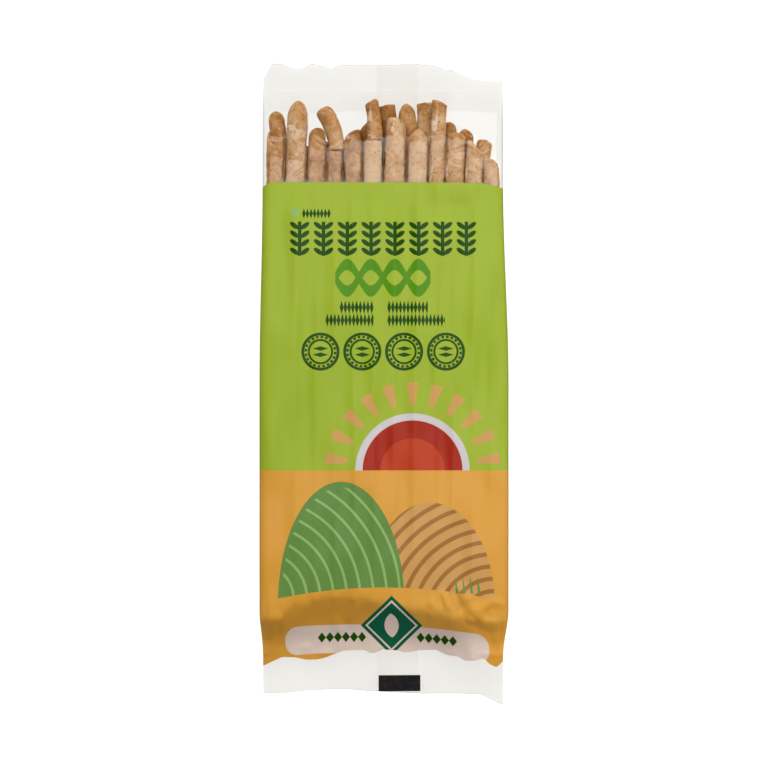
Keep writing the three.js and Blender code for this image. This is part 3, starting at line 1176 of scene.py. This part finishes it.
def badges(x, y):
    """Four plain ringed badges with a ring of ticks and small grains in the middle."""
    pitch, first, middle_y, count, half_height = 17.57, -26.7, 13.6, 4, 9.0
    outer_ring, inner_ring, tick_ring = (7.4, 0.6), (4.9, 0.45), (6.2, 0.5)
    tick_count, tick_gap = 20.0, 0.4
    grain_pitch, grain_thin, grain_size, grains_x, grains_y = 2.6, 0.3, 0.98, 3.2, 2.6
    left = first - pitch / 2.0
    local_x = (x - left).remainder(pitch) - pitch / 2.0
    local_y = y - middle_y
    distance = distance_from(local_x, local_y, (0.0, 0.0))
    angle = local_y.math("ARCTAN2", local_x)
    ticks = distance.near(*tick_ring) & (angle * (tick_count / TURN)).remainder(1.0).above(tick_gap)
    grains = abs(local_x) * grain_thin + abs(local_y.remainder(grain_pitch) - grain_pitch / 2.0)
    middle = grains.below(grain_size) & abs(local_x).below(grains_x) & abs(local_y).below(grains_y)
    inside = x.between(left, left + count * pitch)
    inside = inside & y.between(middle_y - half_height, middle_y + half_height)
    return (distance.near(*outer_ring) | distance.near(*inner_ring) | ticks | middle) & inside


def hill(x, y, form, plain, lines):
    """Layers of a hill and of the rings that line it."""
    from_middle = distance_from(x, y, form.middle, form.squeeze)
    rings = distance_from(x, y, form.rings_from).remainder(form.pitch) - form.pitch / 2.0
    lined = from_middle.below(form.lined) & rings.near(0.0, form.half_line)
    return [(from_middle.below(form.radius), plain), (lined, lines)]


def landscape(tree, x, y, colours):
    """Layers of a half sun with rays on the horizon, a ploughed hill, a green hill in front of it,
    and the near ground in the colour of the field, with a few stalks."""
    from_sun = distance_from(x, y, SUN)
    angle = (y - SUN[1]).math("ARCTAN2", x - SUN[0])
    side = abs(angle.remainder(RAY_STEP) - RAY_STEP / 2.0)
    sky = y.above(SUN[1])
    rays = (side * from_sun).below((from_sun - RAY_ROOT) * RAY_WIDTH) & from_sun.between(*RAYS)
    stalks = abs((x + y * STALK_LEAN).remainder(STALK_PITCH) - STALK_PITCH / 2.0)
    stalks = (stalks + (y + STALK_TAPERS_FROM) * STALK_TAPER).below(STALK_WIDTH)
    ground = distance_from(x, y, GROUND).below(GROUND_RADIUS)
    return [
        (rays & sky, colours.straw),
        (from_sun.below(SUN_RING) & sky, colours.pale_grey),
        (from_sun.below(SUN_FACE) & sky, colours.red),
        (from_sun.below(SUN_HEART) & sky, colours.red_light),
        *hill(x, y, PLOUGHED_HILL, colours.straw, colours.straw_dark),
        *hill(x, y, GREEN_HILL, colours.hill, colours.hill_line),
        (ground, clouded(tree, colours.amber, colours.amber_light)),
        (stalks & y.between(*STALKS_Y) & x.between(*STALKS_X), colours.hill),
    ]


def foot_band(x, y, colours):
    """Layers of the pale band, which curves a little, with two rows of lozenges and an emblem."""
    from_turn = x + BAND_TURNS
    warped = y + from_turn * from_turn * BAND_CURVE
    diamond = abs(x - EMBLEM[0]) + abs(y - EMBLEM[1])
    left_disc, right_disc = (distance_from(x, y, disc).below(LEAF_RADIUS) for disc in LEAF_DISCS)
    return [
        (rounded_box(x, warped, BAND, BAND_HALF_SIZE, BAND_CORNER), colours.band),
        (lozenges(x, warped, BAND_ROWS), colours.dark_green),
        (diamond.below(EMBLEM_SIZE), colours.emblem),
        (diamond.near(*EMBLEM_LINE) | left_disc & right_disc, colours.band),
    ]


def whole_print(tree, x, y, colours):
    """The front's print: two fields, a plain landscape, ornaments, badges and a pale band."""
    return painted(tree, two_fields(tree, x, y, colours), [
        *landscape(tree, x, y, colours),
        (sprigs(x, y), colours.dark_green),
        (braid(x, y), colours.mid_green),
        (lozenges(x, y, WORD_ROWS) | badges(x, y), colours.dark_green),
        (distance_from(x, y, DOT).below(DOT_RADIUS), colours.hill_line),
        *foot_band(x, y, colours),
    ])


def panel_finish():
    """Black ink with a slightly worn face."""
    material, tree, shader = new_material("black_ink")
    worn = noise(tree, object_place(tree), *INK_WEAR).eased(*WEAR_SHOWS)
    plug(tree, shader, Base_Color=mixed(tree, worn, INK, WORN_INK), Roughness=0.45)
    return material


def floor_finish():
    """White lit studio surface with the faintest unevenness."""
    material, tree, shader = new_material("studio_floor")
    clouds = noise(tree, object_place(tree), *FLOOR_CLOUDS)
    colour = mixed(tree, clouds, FLOOR_GREY, FLOOR_LIGHTER)
    plug(tree, shader, Base_Color=colour, Roughness=0.9, Specular_IOR_Level=0.1, Emission_Color=WHITE,
         Emission_Strength=FLOOR_GLOW)
    return material


# ---- The stick tree: lines with radii become crusty sticks


def stick_inputs(sizes, seed, crust):
    """The values of the stick tree's inputs."""
    return {
        "Sides": sizes.stick_sides, "Seed": seed, "Crust": crust,
        "Swell height": sizes.swell_height, "Swells per metre": SWELLS_PER_METRE,
        "Pit height": sizes.pit_height, "Pits per metre": PITS_PER_METRE,
        "Break height": sizes.break_height, "Breaks per metre": BREAKS_PER_METRE,
    }


def stick_tree(inputs):
    """Geometry nodes that turn edges with radius, slant, break and tone into bumpy sticks."""
    tree = bpy.data.node_groups.new("Breadsticks", "GeometryNodeTree")
    tree.is_modifier = True
    kinds = {int: "Int", float: "Float", bpy.types.Material: "Material"}
    tree.interface.new_socket("Geometry", in_out="INPUT", socket_type="NodeSocketGeometry")
    for name, value in inputs.items():
        tree.interface.new_socket(name, in_out="INPUT", socket_type="NodeSocket" + kinds[type(value)])
    tree.interface.new_socket("Geometry", in_out="OUTPUT", socket_type="NodeSocketGeometry")
    given = tree.nodes.new("NodeGroupInput").outputs
    result = tree.nodes.new("NodeGroupOutput")

    def geometry(kind, settings=None, **inputs):
        return add_node(tree, "GeometryNode" + kind, settings, **inputs).outputs[0]

    def kept_number(name):
        return Field(tree, geometry("InputNamedAttribute", {"data_type": "FLOAT"}, Name=name))

    line = geometry("MeshToCurve", Mesh=given["Geometry"])
    here = tree.nodes.new("GeometryNodeInputPosition").outputs[0]
    centre = tree.nodes.new("GeometryNodeCaptureAttribute")
    centre.capture_items.new("VECTOR", "Centre")
    plug(tree, centre, Geometry=line, Centre=here)
    ring = geometry("CurvePrimitiveCircle", Resolution=given["Sides"], Radius=1.0)
    stick = geometry("CurveToMesh", Curve=centre.outputs["Geometry"], Profile_Curve=ring,
                     Scale=kept_number("radius"), Fill_Caps=True)

    def ripple(height, per_metre, detail):
        node = add_node(tree, "ShaderNodeTexNoise", {"noise_dimensions": "4D"}, Vector=here,
                        W=given["Seed"], Scale=given[per_metre], Detail=detail)
        return (Field(tree, node.outputs["Fac"]) - RIPPLE_MIDDLE) * given[height]

    rise = ripple("Swell height", "Swells per metre", SWELL_DETAIL)
    rise = rise + ripple("Pit height", "Pits per metre", PIT_DETAIL)
    outward = vector_math(tree, "SUBTRACT", here, centre.outputs["Centre"])
    push = vector_math(tree, "SCALE", vector_math(tree, "NORMALIZE", outward), Scale=rise)
    aside = add_node(tree, "ShaderNodeSeparateXYZ", None, outward)
    lean = kept_number("slant") * Field(tree, aside.outputs["X"])
    ragged = kept_number("break") * ripple("Break height", "Breaks per metre", PIT_DETAIL)
    along = add_node(tree, "ShaderNodeCombineXYZ", Y=lean + ragged)
    offset = vector_math(tree, "ADD", push, along.outputs[0])
    share = rise.math("DIVIDE", given["Pit height"])
    named = geometry("StoreNamedAttribute", {"data_type": "FLOAT", "domain": "POINT"}, Geometry=stick,
                     Name="rise", Value=share)
    moved = geometry("SetPosition", Geometry=named, Offset=offset)
    real = geometry("RealizeInstances", Geometry=geometry("SetShadeSmooth", Geometry=moved))
    clad = geometry("SetMaterial", Geometry=real, Material=given["Crust"])
    plug(tree, result, Geometry=clad)
    return tree


def plain_mesh(source, name):
    """The evaluated result of an object as a plain mesh object, with the source removed."""
    bpy.context.view_layer.update()
    evaluated = source.evaluated_get(bpy.context.evaluated_depsgraph_get())
    mesh = bpy.data.meshes.new_from_object(evaluated)
    mesh.name = name
    bpy.data.objects.remove(source)
    return new_object(name, mesh)


def make_sticks(name, lines, tones, tree, inputs):
    """One piece of sticks from their lines."""
    points, edges, numbers = [], [], {"radius": [], "slant": [], "break": [], "tone": []}
    for line, tone in zip(lines, tones):
        start = len(points)
        points += line.points.tolist()
        edges += [(start + i, start + i + 1) for i in range(len(line.points) - 1)]
        columns = (line.radii * MM, line.slants, line.breaks, tone + line.browning)
        for values, column in zip(numbers.values(), columns):
            values += column.tolist()
    source = new_mesh_object(name + "_lines", points, [], edges=edges)
    for key, values in numbers.items():
        numbers_kept = source.data.attributes.new(key, "FLOAT", "POINT")
        numbers_kept.data.foreach_set("value", np.array(values, float))
    modifier = source.modifiers.new("Breadsticks", "NODES")
    modifier.node_group = tree
    for item in tree.interface.items_tree:
        if item.in_out == "INPUT" and item.name in inputs:
            modifier[item.identifier] = inputs[item.name]
    piece = plain_mesh(source, name)
    for key in ("radius", "slant", "break"):
        if key in piece.data.attributes:
            piece.data.attributes.remove(piece.data.attributes[key])
    return piece


# ---- Sizes and colours that a user would change


def number_property(name, description, default, unit="LENGTH"):
    return FloatProperty(name=name, description=description, default=default, unit=unit,
                         precision=5, min=0.0)


class PacketSizes(bpy.types.PropertyGroup):
    """Sizes of the packet's pieces."""

    stick_sides: IntProperty(name="Stick sides", description="Faces round each stick", default=48, min=8)
    swell_height: number_property("Swell", "Height of the sticks' uneven swells", 0.0011)
    pit_height: number_property("Pits", "Depth of the crust's small pits", 0.0006)
    break_height: number_property("Breaks", "Roughness of broken ends", 0.0022)
    draw_print: number_property("Printed film draw", "How far it sinks between sticks", 0.05, "NONE")
    draw_clear: number_property("Clear film draw", "How far it sinks between sticks", 0.01, "NONE")
    camera_height: number_property("Camera height", "Camera above the packet's front", 1.6)
    view_width: number_property("View width", "Width seen at the packet's front", 0.3226)


# The print's, the bread's and the film's colours, and what each of them is for
COLOURS = {
    "green": ((0.230, 0.309, 0.017), "Upper field of the print"),
    "green_light": ((0.252, 0.330, 0.026), "Lighter patches of the upper field"),
    "amber": ((0.482, 0.226, 0.026), "Lower field of the print"),
    "amber_light": ((0.514, 0.252, 0.041), "Lighter patches of the lower field"),
    "dark_green": ((0.010, 0.050, 0.002), "Ornaments"),
    "mid_green": ((0.062, 0.195, 0.003), "Braid"),
    "emblem": ((0.004, 0.078, 0.038), "Emblem at the foot"),
    "band": ((0.525, 0.417, 0.357), "Pale band at the foot"),
    "pale_grey": ((0.44, 0.41, 0.41), "Ring round the sun"),
    "red": ((0.27, 0.016, 0.005), "Sun"),
    "red_light": ((0.36, 0.035, 0.01), "Middle of the sun"),
    "straw": ((0.43, 0.235, 0.07), "Rays and ploughed strips"),
    "straw_dark": ((0.27, 0.11, 0.028), "Furrows"),
    "hill": ((0.09, 0.185, 0.04), "Green hill"),
    "hill_line": ((0.2, 0.32, 0.1), "Rows on the hill"),
    "bread_pale": ((0.61, 0.414, 0.246), "Least baked crust"),
    "bread_tan": ((0.505, 0.273, 0.104), "Main crust"),
    "bread_toasted": ((0.31, 0.135, 0.038), "Most baked crust"),
    "bread_flour": ((0.68, 0.50, 0.30), "Floury patches"),
    # The bran colour is also the painted shade in the crust's pits
    "bread_bran": ((0.20, 0.085, 0.026), "Bran specks and pits"),
    "film_tint": ((0.917, 0.913, 0.896), "What clear film lets through"),
    "seam_tint": ((0.895, 0.880, 0.853), "What the clear seam lets through"),
}


def colour_property(key, default, description):
    return FloatVectorProperty(name=key.replace("_", " ").capitalize(), description=description,
                               subtype="COLOR", default=default, size=3, min=0.0, max=1.0)


class PacketColours(bpy.types.PropertyGroup):
    """Colours of the print, the film and the bread."""

    __annotations__ = {key: colour_property(key, *values) for key, values in COLOURS.items()}
    film_gloss: number_property("Film gloss", "Light that clear film sends back face on", 0.062, "NONE")


# ---- Operators


class PACKET_OT_stage(bpy.types.Operator):
    """Makes the camera, the lights, the sky and the white floor"""

    bl_idname = "packet.stage"
    bl_label = "Stage"

    def execute(self, context):
        scene = context.scene
        sizes = scene.packet_sizes
        camera = new_object("camera", bpy.data.cameras.new("camera"))
        camera.data.sensor_width = SENSOR_WIDTH
        camera.data.lens = SENSOR_WIDTH * sizes.camera_height / sizes.view_width
        camera.location = (0.0, 0.0, sizes.camera_height + PACK_HIGH[2])
        scene.camera = camera

        low, high = -FLOOR_HALF, FLOOR_HALF
        corners = [(low, low, 0.0), (high, low, 0.0), (high, high, 0.0), (low, high, 0.0)]
        floor_object = new_mesh_object("floor", corners, [(0, 1, 2, 3)], [floor_finish()])
        floor_object.visible_glossy = False

        for softbox in SOFTBOXES:
            light = bpy.data.lights.new(softbox.name, "AREA")
            light.shape = "RECTANGLE"
            light.size, light.size_y = softbox.size
            light.energy = softbox.radiance * math.pi * softbox.size[0] * softbox.size[1]
            lamp = new_object(softbox.name, light)
            lamp.location = softbox.place
            towards = Vector(softbox.aim) - Vector(softbox.place)
            lamp.rotation_euler = towards.to_track_quat("-Z", "Y").to_euler()
            lamp.visible_camera = False
            lamp.visible_glossy = softbox.mirrored

        scene.world = bpy.data.worlds.new("studio")
        scene.world.use_nodes = True
        scene.world.cycles_visibility.glossy = False
        tree = scene.world.node_tree
        plug(tree, tree.nodes["Background"], Color=WHITE, Strength=SKY_STRENGTH)
        scene.view_settings.view_transform = "Standard"
        return {"FINISHED"}


class PACKET_OT_sticks(bpy.types.Operator):
    """Makes the two layers of breadsticks and the snapped-off ends"""

    bl_idname = "packet.sticks"
    bl_label = "Breadsticks"

    def execute(self, context):
        sizes, crust = context.scene.packet_sizes, bread_finish(context.scene.packet_colours)
        tree = stick_tree(stick_inputs(sizes, 0, crust))
        groups = (
            ("upper_sticks", upper_lines(), UPPER_STICKS, 3),
            ("lower_sticks", lower_lines(), LOWER_STICKS, 5),
            ("snapped_ends", snapped_lines(), SNAPPED_ENDS, 7),
        )
        for name, lines, sticks, seed in groups:
            tones = [stick.tone for stick in sticks]
            piece = make_sticks(name, lines, tones, tree, stick_inputs(sizes, seed, crust))
            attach(piece, "root")
        return {"FINISHED"}


class PACKET_OT_film(bpy.types.Operator):
    """Makes the bag: clear at head and foot, printed between, closed all round"""

    bl_idname = "packet.film"
    bl_label = "Film bag"

    def execute(self, context):
        sizes, colours = context.scene.packet_sizes, context.scene.packet_colours
        front, back = film_surfaces(sizes.draw_print, sizes.draw_clear)
        faces, in_row, across_back = bag_faces(len(front), film_columns()[0])
        points = np.concatenate([front.reshape(-1, 3), back.reshape(-1, 3)])
        finishes = {
            CLEAR: clear_finish("clear_film", colours.film_tint, colours.film_gloss),
            FRONT_PRINT: print_finish("front_print", whole_print, colours),
            BACK_PRINT: print_finish("back_print", two_fields, colours),
            CLEAR_SEAM: clear_finish("clear_seam", colours.seam_tint, colours.film_gloss),
        }
        materials = [finishes[number] for number in sorted(finishes)]
        face_slots = list(bag_slots(in_row, across_back))
        piece = new_mesh_object("film_bag", *only_used(points, faces), materials, face_slots)
        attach(piece, "root")
        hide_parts("pack")
        return {"FINISHED"}


class PACKET_OT_seam(bpy.types.Operator):
    """Makes the folded seam down the back of the bag"""

    bl_idname = "packet.seam"
    bl_label = "Back seam"

    def execute(self, context):
        x_line = SEAM_X + SEAM_WIDTH * np.linspace(-0.5, 0.5, SEAM_STEPS + 1)
        along = np.linspace(0.0, 1.0, SEAM_ROWS + 1)[:, None]
        y = lerp(outline(FOOT_PRINT, x_line), outline(HEAD_PRINT, x_line), along)
        x = np.broadcast_to(x_line, y.shape)
        heights = (back_height(x, y) - (BACK_HEIGHT - height) for height in (SEAM_TOP, SEAM_BOTTOM))
        points, faces = closed_slab(*(np.stack([x, y, z], 2) for z in heights))
        piece = new_mesh_object("back_seam", points, faces, [bpy.data.materials["back_print"]])
        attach(piece, "root")
        return {"FINISHED"}


class PACKET_OT_panel_mark(bpy.types.Operator):
    """Makes the plain black date panel printed on the foot seal"""

    bl_idname = "packet.date_panel"
    bl_label = "Date panel"

    def execute(self, context):
        x, y = np.meshgrid(*(np.linspace(*ends) for ends in zip(PANEL_LOW, PANEL_HIGH, PANEL_CELLS)))
        under = seal_height(x, y) + SHEET_GAP / 2.0 + PANEL_GAP
        points, faces = closed_slab(*(np.stack([x, y, z], 2) for z in (under + PANEL_THICKNESS, under)))
        piece = new_mesh_object("date_panel", points, faces, [panel_finish()])
        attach(piece, "root")
        return {"FINISHED"}


class PACKET_PT_panel(bpy.types.Panel):
    """Lists the packet's sizes, colours and makers"""

    bl_idname = "PACKET_PT_panel"
    bl_label = "Breadstick packet"
    bl_space_type = "VIEW_3D"
    bl_region_type = "UI"
    bl_category = "Packet"

    def draw(self, context):
        layout = self.layout
        for group in (context.scene.packet_sizes, context.scene.packet_colours):
            for name in group.__annotations__:
                layout.prop(group, name)
        for operator in OPERATORS:
            layout.operator(operator.bl_idname)


OPERATORS = (PACKET_OT_stage, PACKET_OT_sticks, PACKET_OT_film, PACKET_OT_seam, PACKET_OT_panel_mark)
CLASSES = (PacketSizes, PacketColours, *OPERATORS, PACKET_PT_panel)


def register():
    for cls in CLASSES:
        bpy.utils.register_class(cls)
    bpy.types.Scene.packet_sizes = PointerProperty(type=PacketSizes)
    bpy.types.Scene.packet_colours = PointerProperty(type=PacketColours)


def unregister():
    del bpy.types.Scene.packet_sizes
    del bpy.types.Scene.packet_colours
    for cls in reversed(CLASSES):
        bpy.utils.unregister_class(cls)


def main():
    register()
    bpy.ops.packet.stage()
    bpy.ops.packet.sticks()
    bpy.ops.packet.film()
    bpy.ops.packet.seam()
    bpy.ops.packet.date_panel()


if __name__ == "__main__":
    main()
